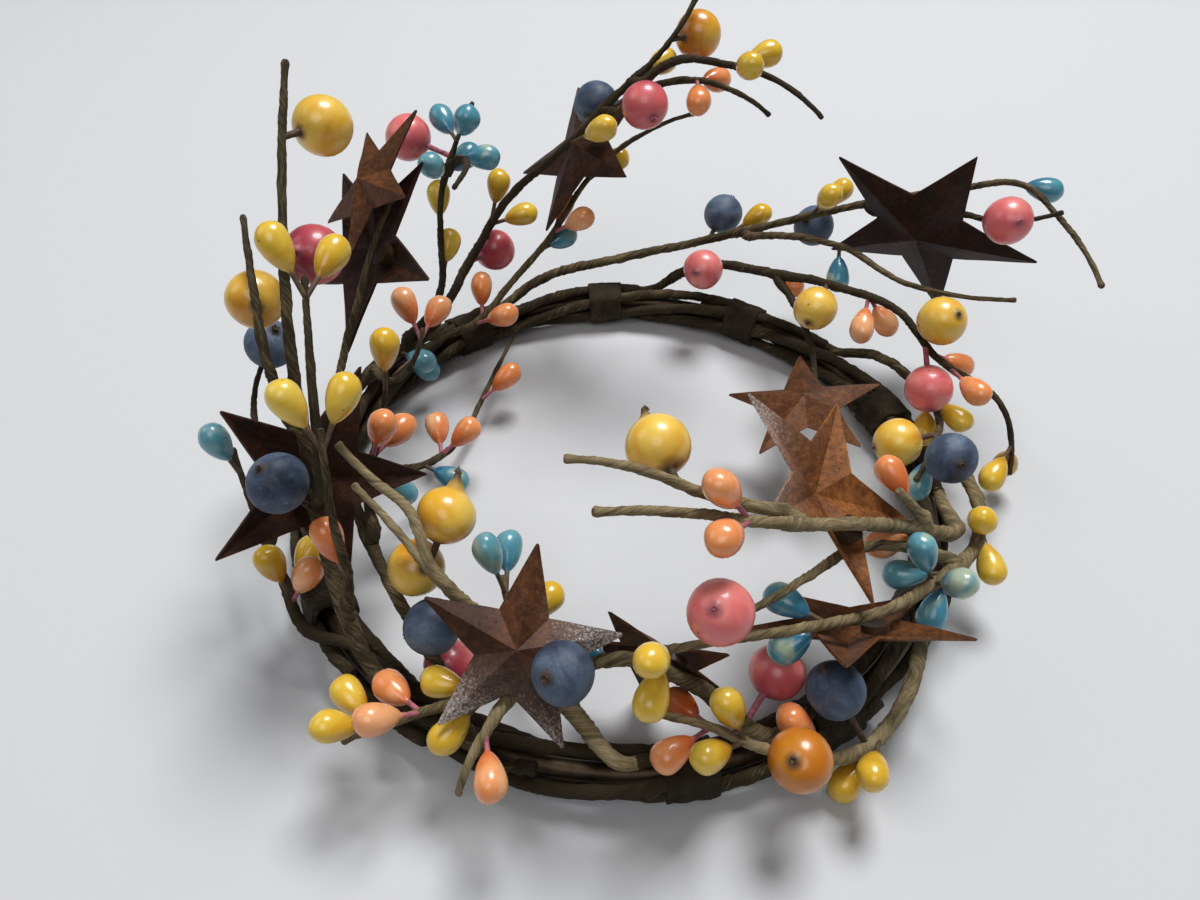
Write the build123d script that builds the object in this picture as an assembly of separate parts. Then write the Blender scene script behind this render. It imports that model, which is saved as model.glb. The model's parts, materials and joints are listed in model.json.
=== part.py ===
from build123d import *
import math
import os

# A candle ring of paper-wrapped wire stems wound round a hoop, with pips, berries and tin stars.
# Millimetres. The origin is the middle of the ring on the table, +Z up, the photographed front at -Y.
# A place is (bearing, out, up): degrees round the ring from +X, and mm out from and up from the hoop.

# Ring
HOOP_RADIUS = 56.0  # centreline of the hoop wire
HOOP_WIRE = 3.0
WINDING_DIAMETER = 2.4  # a stem where it is wound round the hoop
WINDING_CLEARANCE = 0.3  # between the hoop and the stems wound round it
STRANDS = 5  # stems that lie side by side round the hoop
LAY_TURNS = 3  # turns that a strand makes about the hoop in one round
LEAVE_PHASE = 60.0  # degrees above straight outwards where a stem leaves the winding
STRAND_GAP = 14.0  # degrees from where one stem leaves to where the next one starts in its place
BUTT_GAP = 0.3  # between a wound stem and the sprig that goes on from it
HINGE_GAP = 0.7  # the same where the sprig is bent by hand

# Paper tape that binds the stems to the hoop
TAPE_BEARINGS = (19, 60, 93, 126, 173, 208, 279, 303, 333)
TAPE_WIDTH = 9.0
TAPE_THICKNESS = 0.5
TAPE_CLEARANCE = 0.3  # between the tape and the winding
TAPE_FLAT = 0.3  # depth that the ring's weight presses flat at the bottom

# Sprigs
STEM_DIAMETER = 2.2
TWIG_DIAMETER = 1.7
ROOT_GAP = 0.15  # between a twig and a bead's stalk or a dab of glue
TWIG_GAP = 0.35  # between a stem and the cut root of a side twig
STRAIGHT = math.radians(0.5)  # an arc that bends less than this is drawn as a line

# Pips, the small teardrop beads
PIP_LENGTH = 8.0
PIP_DIAMETER = 4.9
PIP_STALK = 1.0
PIP_NECK = 1.0

# Berries, the large beads on a stalk
BERRY_DIAMETER = 8.8
STALK_DIAMETER = 1.1
CALYX_DIAMETER = 1.6
CALYX_HEIGHT = 0.8

# Tin stars, embossed with a ridge to each point
STAR_POINTS = 5
SMALL_STAR = 29.0  # across the circle of the points
MEDIUM_STAR = 36.0
LARGE_STAR = 44.0
STAR_NOTCH = 0.40  # radius of the notches over that of the points
STAR_CROWN = 2.6  # height of the middle over the rim
STAR_SHEET = 0.5
GLUE_DIAMETER = 4.0
GLUE_THICKNESS = 1.2  # from the stem to the rim plane of the star
THICK_GLUE = 1.6  # where the stem bends towards the star

# Placing of the beads
CLEARANCE = 0.3  # kept between a bead and what is there
SETTLE_TURNS = [0] + [sign * step for step in range(15, 181, 15) for sign in (1, -1)]
SETTLE_SHIFTS = (0, 1, -1, 2, -2, 3, -3, 4, -4)  # mm along the twig
BALL_STEP = 1.0  # between the balls that stand for a twig or a star

# Values that follow
LAY_RADIUS = HOOP_WIRE / 2 + WINDING_CLEARANCE + WINDING_DIAMETER / 2
TAPE_INNER = LAY_RADIUS + WINDING_DIAMETER / 2 + TAPE_CLEARANCE
TAPE_OUTER = TAPE_INNER + TAPE_THICKNESS
HOOP_HEIGHT = TAPE_OUTER - TAPE_FLAT

# Sprigs that are bent by hand where they leave the ring
HINGED = ("left_sprig", "rear_sprig", "star_sprig", "front_sprig")

# Main stems: name: (sprig, bearing where it leaves the ring, route)
STEMS = {
    "tall": ("left_sprig", 238, [
        (228, 1, 7), (218, -1, 14), (209, -4, 30), (198, -7, 48), (184, -9, 62), (167, -8, 74)
    ]),
    "side": ("left_base", 222, [(214, 5, 4), (208, 5, 8), (200, 6, 14), (191, 8, 22)]),
    "rear_left": ("left_base", 254, [
        (246, 1, 6), (236, -5, 8), (222, -8, 11), (203, -9, 16), (188, -8, 21), (176, -9, 28),
        (169, -11, 35), (160, -12, 42), (152, -13, 48)
    ]),
    "rear": ("rear_sprig", 165, [
        (154, -1, 7), (141, -6, 11), (125, -3, 20), (115, -4, 32), (105, -9, 42), (91, -7, 52),
        (84, -5, 57), (77, 3, 66)
    ]),
    "star": ("star_sprig", 118, [
        (107, 3, 6), (90, 4, 9), (73, 6, 14), (60, 9, 20), (50, 12, 26), (34, 21, 36), (27, 27, 40),
        (21, 28, 38), (10, 27, 34)
    ]),
    "right": ("right_sprig", 85, [
        (74, 4, 8), (53, -1, 16), (35, -3, 22), (22, -1, 24), (13, 2, 20), (4, 12, 15), (1, 14, 10),
        (358, 14, 5)
    ]),
    "right_low": ("right_sprig", 40, [
        (30, 4, 6), (16, 3, 10), (4, 1, 13), (354, -3, 15), (346, -6, 14)
    ]),
    "front": ("front_sprig", 355, [
        (338, 1, 12), (327, -7, 20), (316, -10, 27), (303, -13, 32), (290, -13, 38), (279, -13, 42),
        (264, -10, 46)
    ]),
    "rope": ("front_base", 10, [
        (0, 5, 5), (352, 6, 7), (339, 5, 10), (323, 0, 14), (314, -2, 16), (300, -5, 20),
        (286, -6, 23), (271, -5, 24)
    ]),
    "low": ("front_base", 325, [
        (315, 5, 3), (306, 7, 2), (298, 7, 4), (289, 3, 7), (281, -2, 9), (273, -4, 10)
    ]),
    "crossing": ("front_base", 295, [
        (280, -7, 12), (271, -9, 16), (257, -6, 14), (249, -2, 13), (241, 4, 11), (233, 11, 5)
    ]),
    "inner_front": ("front_base", 271, [
        (263, -4, 6), (256, -9, 9), (246, -10, 16), (235, -9, 26), (228, -11, 32), (221, -10, 34),
        (214, -8, 38)
    ]),
}

# Side twigs: name: (stem or twig that it grows on, mm along that, route)
TWIGS = {
    "tall_front": ("tall", 38, [(216, -4, 34), (210, -8, 48), (198, -11, 56)]),
    "left_pair": ("tall", 20, [(222, -2, 20), (221, -3, 32), (217, -6, 44)]),
    "left_outer": ("tall", 50, [(198, -3, 44), (191, -3, 50), (179, -1, 56)]),
    "pair_twig": ("rear_left", 44, [(203, -12, 20), (196, -16, 26), (188, -18, 32)]),
    "inner": ("rear_left", 60, [
        (188, -16, 10), (175, -22, 4), (159, -23, 1), (136, -19, 2), (120, -11, 4)
    ]),
    "left_navy": ("side", 26, [(186, 6, 16), (177, 8, 20), (171, 8, 22)]),
    "rear_low": ("rear", 26, [
        (132, -10, 10), (118, -9, 16), (106, -7, 24), (96, -3, 34), (86, -3, 42), (75, 0, 46)
    ]),
    "rear_top": ("rear", 93, [(80, -7, 58), (68, -5, 58), (61, -6, 58), (46, -7, 54)]),
    "rear_cut": ("rear", 86, [(76, -4, 54), (69, -5, 54), (59, -4, 50)]),
    "blue_twig": ("rear", 22, [
        (136, -7, 20), (133, -5, 28), (130, -3, 36), (126, -3, 44), (119, 1, 50)
    ]),
    "blue_cut": ("blue_twig", 36, [(128, -11, 46), (138, -17, 46)]),
    "orange_twig": ("rear", 12, [(158, -14, 16), (153, -15, 22)]),
    "star_mid": ("star", 87, [(31, 18, 34), (25, 20, 36), (20, 27, 40)]),
    "star_low": ("star", 60, [(44, 5, 24), (26, 4, 26), (15, 17, 28)]),
    "right_inner": ("right", 38, [(36, -10, 13), (22, -16, 11), (8, -19, 11)]),
    "front_spur": ("front", 31, [(327, -9, 27)]),
    "front_tip": ("front", 62, [(282, -16, 42), (271, -17, 46), (258, -16, 48)]),
    "front_short": ("rope", 44, [(318, -10, 20), (302, -10, 24), (291, -8, 26), (281, -6, 28)]),
    "crossing_spur": ("crossing", 46, [(250, 6, 10), (249, 9, 4)]),
    "blue_spur": ("inner_front", 14, [(245, -16, 9), (238, -20, 13)]),
    "inner_twig": ("inner_front", 28, [(233, -10, 22), (225, -10, 26), (217, -8, 32)]),
}

# Stars: (twig, mm along it, size, roll about it, turn on its face, mm across from the glue, glue)
STARS = [
    ("tall", 39, MEDIUM_STAR, 212, 31, 2, GLUE_THICKNESS),
    ("rear_left", 94, MEDIUM_STAR, 162, 24, -5, GLUE_THICKNESS),
    ("rear_left", 104, SMALL_STAR, 335, 55, 4, GLUE_THICKNESS),
    ("rear_low", 48, MEDIUM_STAR, 6, 0, 5, GLUE_THICKNESS),
    ("star_mid", 9, LARGE_STAR, 108, 54, -3, GLUE_THICKNESS),
    ("front", 48, MEDIUM_STAR, 156, 52, 7, THICK_GLUE),
    ("right_inner", 35, SMALL_STAR, 10, 34, -3, GLUE_THICKNESS),
    ("rope", 64, MEDIUM_STAR, 216, 30, 5, GLUE_THICKNESS),
    ("crossing", 22, SMALL_STAR, 78, 30, -5, GLUE_THICKNESS),
    ("crossing", 43, SMALL_STAR, 324, 30, -5, GLUE_THICKNESS),
]

# Berries: (twig, mm along it, colour, lean from it, roll about it, stalk)
BERRIES = [
    ("tall", 88, "yellow", 60, 140, 1),
    ("left_outer", 15, "yellow", 60, 190, 1),
    ("tall", 73, "pink", 90, 160, 1),
    ("tall", 35, "navy", 40, 330, 3),
    ("left_navy", 32, "navy", 80, 30, 1),
    ("blue_twig", 37, "pink", 90, 290, 4),
    ("rear", 91, "pink", 90, 100, 2),
    ("rear", 101, "yellow", 50, 190, 1),
    ("rear", 79, "navy", 50, 250, 1),
    ("rear", 42, "pink", 50, 190, 1),
    ("star", 50, "navy", 60, 290, 1),
    ("star", 71, "navy", 90, 210, 1),
    ("star_mid", 22, "pink", 40, 60, 1),
    ("right", 50, "yellow", 70, 110, 1),
    ("right", 72, "yellow", 80, 0, 1),
    ("right", 75, "pink", 40, 90, 2),
    ("right", 19, "pink", 80, 70, 1),
    ("right_low", 45, "yellow", 60, 110, 1),
    ("right_low", 49, "navy", 40, 320, 1),
    ("front_tip", 18, "yellow", 70, 100, 1),
    ("front_short", 46, "pink", 50, 340, 1),
    ("low", 24, "navy", 70, 40, 5),
    ("crossing", 8, "pink", 90, 80, 4),
    ("low", 34, "yellow", 50, 330, 1),
    ("crossing", 33, "navy", 70, 330, 3),
    ("inner_twig", 13, "yellow", 60, 70, 2),
    ("inner_twig", 13, "yellow", 80, 170, 1),
    ("inner_twig", 4, "navy", 70, 210, 1),
    ("rear_left", 19, "pink", 70, 160, 2),
]

# Pips: (twig, mm along it, colour, lean from it, rolls about it, one for each pip)
PIPS = [
    ("tall_front", 35, "yellow", 30, (310, 120)),
    ("left_pair", 31, "yellow", 30, (270, 140)),
    ("left_pair", 6, "orange", 40, (290,)),
    ("side", 36, "blue", 40, (340,)),
    ("side", 15, "yellow", 40, (350, 90)),
    ("side", 14, "orange", 60, (40,)),
    ("pair_twig", 11, "orange", 40, (30, 170)),
    ("pair_twig", 24, "yellow", 30, (10,)),
    ("inner", 5, "blue", 30, (100,)),
    ("inner", 18, "blue", 70, (100,)),
    ("inner", 24, "orange", 50, (310, 30)),
    ("inner", 43, "orange", 40, (60,)),
    ("orange_twig", 22, "orange", 40, (280, 190)),
    ("rear", 18, "blue", 60, (90, 160)),
    ("blue_twig", 14, "yellow", 40, (190,)),
    ("blue_twig", 22, "yellow", 30, (200,)),
    ("blue_twig", 33, "blue", 60, (40, 220)),
    ("blue_twig", 37, "blue", 70, (130,)),
    ("blue_twig", 40, "blue", 60, (260, 40)),
    ("rear", 51, "yellow", 50, (180,)),
    ("rear", 51, "yellow", 30, (280,)),
    ("rear_low", 8, "orange", 40, (70,)),
    ("rear_low", 10, "orange", 50, (300,)),
    ("rear_low", 28, "blue", 40, (200,)),
    ("rear_low", 33, "orange", 40, (250, 70)),
    ("rear_low", 45, "yellow", 30, (200,)),
    ("rear", 75, "yellow", 30, (100,)),
    ("rear", 93, "yellow", 50, (230,)),
    ("rear_top", 17, "yellow", 50, (60, 280)),
    ("rear_cut", 16, "orange", 70, (250, 100)),
    ("star", 54, "yellow", 30, (280,)),
    ("star", 73, "yellow", 40, (30, 290)),
    ("star", 110, "blue", 30, (220,)),
    ("star_low", 21, "blue", 70, (150,)),
    ("right", 31, "orange", 40, (220,)),
    ("right", 60, "orange", 70, (130, 200)),
    ("right", 77, "orange", 50, (250,)),
    ("right", 81, "orange", 40, (60,)),
    ("right", 100, "yellow", 50, (200, 70)),
    ("right_low", 30, "yellow", 40, (240, 160)),
    ("right_low", 49, "blue", 50, (180,)),
    ("front", 28, "orange", 50, (170,)),
    ("front_spur", 3, "orange", 60, (90,)),
    ("front", 70, "orange", 30, (10, 280)),
    ("rope", 29, "yellow", 40, (10, 220)),
    ("rope", 46, "blue", 60, (120, 200)),
    ("rope", 50, "blue", 70, (30, 320)),
    ("rope", 73, "blue", 60, (100, 170)),
    ("rope", 97, "yellow", 60, (320, 250)),
    ("low", 31, "orange", 50, (70,)),
    ("low", 21, "yellow", 30, (310, 190)),
    ("low", 44, "yellow", 50, (10, 290)),
    ("low", 49, "orange", 50, (120, 250)),
    ("crossing", 30, "blue", 50, (130,)),
    ("crossing", 48, "yellow", 30, (100, 230)),
    ("crossing", 58, "orange", 50, (340, 90)),
    ("crossing", 65, "yellow", 60, (350, 60)),
    ("crossing_spur", 5, "orange", 50, (290,)),
    ("blue_spur", 13, "yellow", 70, (80,)),
    ("blue_spur", 20, "blue", 30, (340, 140)),
]


def ring_point(bearing, out, up):
    angle = math.radians(bearing)
    reach = HOOP_RADIUS + out
    return Vector(reach * math.cos(angle), reach * math.sin(angle), HOOP_HEIGHT + up)


class Arc:
    # A circular arc from a start, in the direction of its tangent, to an end.
    def __init__(self, start, tangent, end):
        chord = end - start
        self.start, self.tangent, self.end = start, tangent, end
        self.half_turn = math.radians(tangent.get_angle(chord))
        self.straight = self.half_turn < STRAIGHT
        self.length = chord.length
        if not self.straight:
            self.length *= self.half_turn / math.sin(self.half_turn)
            self.side = (chord - tangent * chord.dot(tangent)).normalized()
            self.radius = self.length / (2 * self.half_turn)

    def at(self, distance):
        if self.straight:
            return self.start + self.tangent * distance, self.tangent
        turn = distance / self.radius
        point = self.start + self.tangent * (self.radius * math.sin(turn))
        point += self.side * (self.radius * (1 - math.cos(turn)))
        return point, self.tangent * math.cos(turn) + self.side * math.sin(turn)

    def edge(self):
        if self.straight:
            return Line(self.start, self.end)
        return TangentArc(self.start, self.end, tangent=self.tangent)


class Path:
    # Two tangent arcs from each point to the next.
    def __init__(self, points, tangents, diameter):
        self.diameter = diameter
        self.arcs = []
        for spot, heading, next_spot, next_heading in zip(points, tangents, points[1:], tangents[1:]):
            self.arcs += biarc(spot, heading, next_spot, next_heading)
        self.length = sum(arc.length for arc in self.arcs)

    def at(self, distance):
        for arc in self.arcs:
            if distance <= arc.length:
                return arc.at(distance)
            distance -= arc.length
        return self.arcs[-1].at(self.arcs[-1].length)

    def tube(self):
        section = Plane(self.arcs[0].start, z_dir=self.arcs[0].tangent) * Circle(self.diameter / 2)
        return sweep(section, Wire([arc.edge() for arc in self.arcs])).solid()


def biarc(start, heading, end, end_heading):
    span = end - start
    both = heading + end_heading
    opening = 2 * (1 - heading.dot(end_heading))
    if opening < 1e-9:
        handle = span.dot(span) / (2 * span.dot(both))
    else:
        reach = span.dot(both)
        handle = (math.sqrt(reach * reach + opening * span.dot(span)) - reach) / opening
    middle = (start + heading * handle + end - end_heading * handle) * 0.5
    across = (end - end_heading * handle - start - heading * handle).normalized()
    return [Arc(start, heading, middle), Arc(middle, across, end)]


def mirrored(heading, chord):
    across = chord.normalized()
    return (across * (2 * heading.dot(across)) - heading).normalized()


def smooth_tangents(points, first=None):
    # The tangent at a point is that of the circle through it and its two neighbours.
    steps = [end - start for start, end in zip(points, points[1:])]
    inner = []
    for before, after in zip(steps, steps[1:]):
        share = after.length / before.length
        inner.append((before * share + after * (1 / share)).normalized())
    if not inner:
        return [steps[0].normalized()] * 2
    start = first or mirrored(inner[0], steps[0])
    return [start] + inner + [mirrored(inner[-1], steps[-1])]


# The winding
def strand_phase(strand, bearing):
    return 360 / STRANDS * strand + LAY_TURNS * bearing


def strand_at(strand, bearing):
    # The place on a strand, and its heading, clockwise seen from above.
    phase = math.radians(strand_phase(strand, bearing))
    angle = math.radians(bearing)
    place = ring_point(bearing, LAY_RADIUS * math.cos(phase), LAY_RADIUS * math.sin(phase))
    outwards = Vector(math.cos(angle), math.sin(angle), 0)
    round_ring = Vector(math.sin(angle), -math.cos(angle), 0)
    across = outwards * math.sin(phase) - Vector(0, 0, 1) * math.cos(phase)
    reach = HOOP_RADIUS + LAY_RADIUS * math.cos(phase)
    return place, (round_ring * reach + across * (LAY_RADIUS * LAY_TURNS)).normalized()


def leaving_strand(bearing):
    def miss(strand):
        return abs((strand_phase(strand, bearing) - LEAVE_PHASE + 180) % 360 - 180)
    return min(range(STRANDS), key=miss)


def winding_path(strand, start, end):
    quarter_turn = 90 / LAY_TURNS
    steps = max(1, round((start - end) / quarter_turn))
    stops = [strand_at(strand, start + (end - start) * step / steps) for step in range(steps + 1)]
    return Path([place for place, _ in stops], [heading for _, heading in stops], WINDING_DIAMETER)


def windings():
    leaves = {strand: [] for strand in range(STRANDS)}
    for _, bearing, _ in STEMS.values():
        leaves[leaving_strand(bearing)].append(bearing % 360)
    paths = []
    for strand, bearings in leaves.items():
        ends = sorted(bearings) or [0]
        for end, next_end in zip(ends, ends[1:] + [ends[0] + 360]):
            paths.append(winding_path(strand, next_end - STRAND_GAP, end))
    return paths


def least_gap(tubes):
    # Between different tubes of one diameter, measured on points along them.
    tracks = []
    for tube in tubes:
        count = math.ceil(tube.length / BALL_STEP)
        tracks.append([tuple(tube.at(tube.length * step / count)[0]) for step in range(count + 1)])
    apart = math.inf
    for number, track in enumerate(tracks):
        for other in tracks[number + 1:]:
            apart = min(apart, min(math.dist(spot, far) for spot in track for far in other))
    return apart - tubes[0].diameter


def stem_path(name):
    sprig, bearing, route = STEMS[name]
    place, heading = strand_at(leaving_strand(bearing), bearing)
    gap = HINGE_GAP if sprig in HINGED else BUTT_GAP
    points = [place + heading * gap] + [ring_point(*spot) for spot in route]
    return Path(points, smooth_tangents(points, heading), STEM_DIAMETER)


def twig_path(stem, along, route):
    # The cut root stands beside the stem, and the twig runs from there along its route.
    place, heading = stem.at(along)
    away = (ring_point(*route[0]) - place).normalized()
    slant = heading.dot(away)
    side = (away - heading * slant).normalized()
    root = place + side * (stem.diameter / 2 + TWIG_GAP + TWIG_DIAMETER / 2 * abs(slant))
    points = [root] + [ring_point(*spot) for spot in route]
    return Path(points, smooth_tangents(points), TWIG_DIAMETER)


def paths():
    routes = {name: stem_path(name) for name in STEMS}
    for name, (stem, along, route) in TWIGS.items():
        routes[name] = twig_path(routes[stem], along, route)
    return routes


def sprig_of(name):
    while name in TWIGS:
        name = TWIGS[name][0]
    return STEMS[name][0]


def sideways(heading, roll):
    # Square to a heading: 0 degrees is the upper side, and it turns about the heading as a screw goes in.
    upper = (Vector(0, 0, 1) - heading * heading.Z).normalized()
    roll = math.radians(roll)
    return upper * math.cos(roll) + heading.cross(upper) * math.sin(roll)


def leaning(heading, roll, lean):
    lean = math.radians(lean)
    return heading * math.cos(lean) + sideways(heading, roll) * math.sin(lean)


# The beads, each about the Z axis with its root at the origin
def turned(*outline):
    return revolve(Plane.XZ * make_face(outline), Axis.Z).solid()


def pip():
    radius, belly = PIP_DIAMETER / 2, PIP_LENGTH - PIP_DIAMETER / 2
    neck = PIP_NECK / 2
    return turned(
        Polyline((0, 0), (neck, 0), (neck, PIP_STALK)),
        TangentArc((radius, belly), (neck, PIP_STALK), tangent=(0, -1)),
        TangentArc((radius, belly), (0, PIP_LENGTH), tangent=(0, 1)),
        Line((0, PIP_LENGTH), (0, 0)),
    )


def berry_middle(stalk):
    return stalk + math.sqrt(BERRY_DIAMETER**2 - STALK_DIAMETER**2) / 2


def berry(stalk):
    radius, middle = BERRY_DIAMETER / 2, berry_middle(stalk)
    stem, calyx = STALK_DIAMETER / 2, CALYX_DIAMETER / 2
    crown = middle + math.sqrt(radius**2 - calyx**2)
    top = crown + CALYX_HEIGHT
    return turned(
        Polyline((0, 0), (stem, 0), (stem, stalk)),
        ThreePointArc((stem, stalk), (radius, middle), (calyx, crown)),
        Polyline((calyx, crown), (calyx, top), (0, top), (0, 0)),
    )


def polygon(*corners):
    return Face(Wire.make_polygon(corners, close=True))


def star_rim(size):
    rim = []
    for corner in range(2 * STAR_POINTS):
        reach = size / 2 * (STAR_NOTCH if corner % 2 else 1)
        angle = math.pi * corner / STAR_POINTS
        rim.append(Vector(reach * math.cos(angle), reach * math.sin(angle), 0))
    return rim


def star(size):
    # Its rim lies on Z = 0, and the sheet rises from there to the crown.
    rim = star_rim(size)
    crown, sheet = Vector(0, 0, STAR_CROWN), Vector(0, 0, STAR_SHEET)
    faces = []
    for this, following in zip(rim, rim[1:] + rim[:1]):
        faces.append(polygon(this + sheet, following + sheet, crown + sheet))
        faces.append(polygon(following, this, crown))
        faces.append(polygon(this, following, following + sheet, this + sheet))
    return Solid(Shell(faces))


def star_plane(path, along, roll, turn, across, glue):
    place, heading = path.at(along)
    facing = sideways(heading, roll)
    aside = facing.cross(heading)
    turn = math.radians(turn)
    point = heading * math.cos(turn) + aside * math.sin(turn)
    middle = place + facing * (path.diameter / 2 + glue) + aside * across
    return Plane(middle, x_dir=point, z_dir=facing)


# How far the embossed sheet stands above the rim plane of its star
def star_height(size, spot):
    sector = 360 / STAR_POINTS
    angle = math.degrees(math.atan2(spot.Y, spot.X)) % sector
    angle = math.radians(min(angle, sector - angle))
    reach = math.hypot(spot.X, spot.Y)
    half = math.radians(sector / 2)
    to_notch = reach * math.sin(angle) / (STAR_NOTCH * size / 2 * math.sin(half))
    to_tip = (reach * math.cos(angle) - to_notch * STAR_NOTCH * size / 2 * math.cos(half)) / (size / 2)
    return STAR_CROWN * (1 - to_notch - to_tip)


def glue_dab(path, along, size, roll, plane, glue):
    place, heading = path.at(along)
    facing = sideways(heading, roll)
    foot = Plane(place + facing * (path.diameter / 2 + ROOT_GAP), z_dir=facing)
    rim = [Vector(GLUE_DIAMETER / 2, 0, 0).rotate(Axis.Z, turn) for turn in range(0, 360, 15)]
    spots = [plane.to_local_coords(foot.from_local_coords(spot)) for spot in rim]
    least = min(star_height(size, spot) for spot in spots)
    height = glue + least - 2 * ROOT_GAP
    return foot * Cylinder(GLUE_DIAMETER / 2, height, align=(Align.CENTER, Align.CENTER, Align.MIN))


# Room for the beads: everything placed so far, as balls
class Room:
    def __init__(self):
        self.balls = []
        self.crowded = []

    def add(self, owner, balls):
        self.balls += [(owner, *tuple(middle), radius) for middle, radius in balls]

    def add_path(self, owner, path):
        count = math.ceil(path.length / BALL_STEP)
        spots = [path.at(path.length * step / count)[0] for step in range(count + 1)]
        self.add(owner, [(spot, path.diameter / 2) for spot in spots])

    def add_tape(self, bearing):
        reach = math.degrees(TAPE_WIDTH / HOOP_RADIUS)
        for share in (-0.5, -0.25, 0, 0.25, 0.5):
            self.add("tape", [(ring_point(bearing + share * reach, 0, 0), TAPE_OUTER)])

    def add_star(self, plane, size):
        rim = star_rim(size)
        crown = Vector(0, 0, STAR_CROWN)
        count = math.ceil(size / 2 / BALL_STEP)
        for this, following in zip(rim, rim[1:] + rim[:1]):
            for row in range(count + 1):
                for column in range(count + 1 - row):
                    spot = crown + (this - crown) * (row / count) + (following - crown) * (column / count)
                    self.add("star", [(plane.from_local_coords(spot), STAR_SHEET)])

    def free(self, balls, carrier):
        # The first ball is the bead itself, which keeps clear of its own twig too.
        for number, (middle, radius) in enumerate(balls):
            x, y, z = tuple(middle)
            if z - radius < CLEARANCE:
                return False
            for owner, other_x, other_y, other_z, other in self.balls:
                if owner == carrier and number:
                    continue
                reach = radius + other + (ROOT_GAP if owner == carrier else CLEARANCE)
                if abs(x - other_x) < reach and abs(y - other_y) < reach and abs(z - other_z) < reach:
                    if math.dist((x, y, z), (other_x, other_y, other_z)) < reach:
                        return False
        return True

    def settle(self, carrier, along, roll, plane_at, balls_of):
        # Turn a bead about its twig, or else shift it along, to the first place that clears what is there.
        for shift in SETTLE_SHIFTS:
            for turn in SETTLE_TURNS:
                plane = plane_at(along + shift, roll + turn)
                balls = balls_of(plane)
                if self.free(balls, carrier):
                    self.add("bead", balls)
                    return plane
        self.crowded.append(carrier)
        return plane_at(along, roll)


def root_plane(path, along, roll, lean, neck):
    # The end of the stalk clears the side of the twig, also near its tip.
    slant = math.cos(math.radians(lean))
    reach = (path.diameter / 2 + ROOT_GAP + neck / 2 * slant) / math.sin(math.radians(lean))
    place, heading = path.at(min(along, path.length - reach * slant - neck / 2))
    axis = leaning(heading, roll, lean)
    return Plane(place + axis * reach, z_dir=axis)


def pip_balls(plane):
    belly = PIP_LENGTH - PIP_DIAMETER / 2
    shape = ((belly, 0.5), (0.6 * belly, 0.42), (0.25 * belly, 0.28))
    return [(plane.from_local_coords((0, 0, height)), PIP_DIAMETER * share) for height, share in shape]


def berry_balls(plane, stalk):
    middle = berry_middle(stalk)
    balls = [(plane.from_local_coords((0, 0, middle)), BERRY_DIAMETER / 2)]
    balls.append((plane.from_local_coords((0, 0, middle + BERRY_DIAMETER / 2)), CALYX_DIAMETER / 2))
    for height in range(0, math.ceil(stalk)):
        balls.append((plane.from_local_coords((0, 0, height)), STALK_DIAMETER / 2))
    return balls


def ring_tape(bearing):
    reach = math.degrees(TAPE_WIDTH / HOOP_RADIUS)
    arc = CenterArc((0, 0, HOOP_HEIGHT), HOOP_RADIUS, bearing - reach / 2, reach)
    section = Plane(arc @ 0, z_dir=arc % 0) * (Circle(TAPE_OUTER) - Circle(TAPE_INNER))
    table_size = 2 * (HOOP_RADIUS + TAPE_OUTER + TAPE_WIDTH)
    table = Box(table_size, table_size, TAPE_OUTER, align=(Align.CENTER, Align.CENTER, Align.MAX))
    return (sweep(section, arc) - table).solid()


def place_stars(routes, room):
    stars = []
    for name, along, size, roll, turn, across, glue in STARS:
        plane = star_plane(routes[name], along, roll, turn, across, glue)
        stars.append((name, plane, size, glue_dab(routes[name], along, size, roll, plane, glue)))
        room.add_star(plane, size)
    return stars


def place_berries(routes, room):
    berries = []
    for name, along, colour, lean, roll, stalk in BERRIES:
        def plane_at(along, roll):
            return root_plane(routes[name], along, roll, lean, STALK_DIAMETER)
        plane = room.settle(name, along, roll, plane_at, lambda plane: berry_balls(plane, stalk))
        berries.append((name, colour, plane, stalk))
    return berries


def place_pips(routes, room):
    pips = []
    for name, along, colour, lean, rolls in PIPS:
        def plane_at(along, roll):
            return root_plane(routes[name], along, roll, lean, PIP_NECK)
        for roll in rolls:
            pips.append((name, colour, room.settle(name, along, roll, plane_at, pip_balls)))
    return pips


def main():
    nodes = {}

    def put(node, solid):
        nodes.setdefault(node, []).append(solid)

    room = Room()
    put("hoop_wire", Pos(0, 0, HOOP_HEIGHT) * Torus(HOOP_RADIUS, HOOP_WIRE / 2))
    for bearing in TAPE_BEARINGS:
        put("binding_tapes", ring_tape(bearing))
        room.add_tape(bearing)
    wound = windings()
    for winding in wound:
        put("ring_winding", winding.tube())
        room.add_path("winding", winding)
    routes = paths()
    for name, path in routes.items():
        put(f"{sprig_of(name)}_stems", path.tube())
        room.add_path(name, path)

    for name, plane, size, glue in place_stars(routes, room):
        put(f"{sprig_of(name)}_stars", plane * star(size))
        put(f"{sprig_of(name)}_glue", glue)
    for name, colour, plane, stalk in place_berries(routes, room):
        put(f"{sprig_of(name)}_{colour}_berries", plane * berry(stalk))
    bead = pip()
    for name, colour, plane in place_pips(routes, room):
        put(f"{sprig_of(name)}_{colour}_pips", plane * bead)

    os.makedirs("parts", exist_ok=True)
    for node, solids in nodes.items():
        export_step(Compound(children=solids), f"parts/{node}.step")
    print(len(nodes), "nodes; beads with no free place:", room.crowded)
    print(f"least gap between the wound stems {least_gap(wound):.2f} mm")


if __name__ == "__main__":
    main()
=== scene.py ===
import json
import math

import bpy
import numpy as np
from mathutils import Matrix, Vector, noise
from mathutils.geometry import interpolate_bezier


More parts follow.
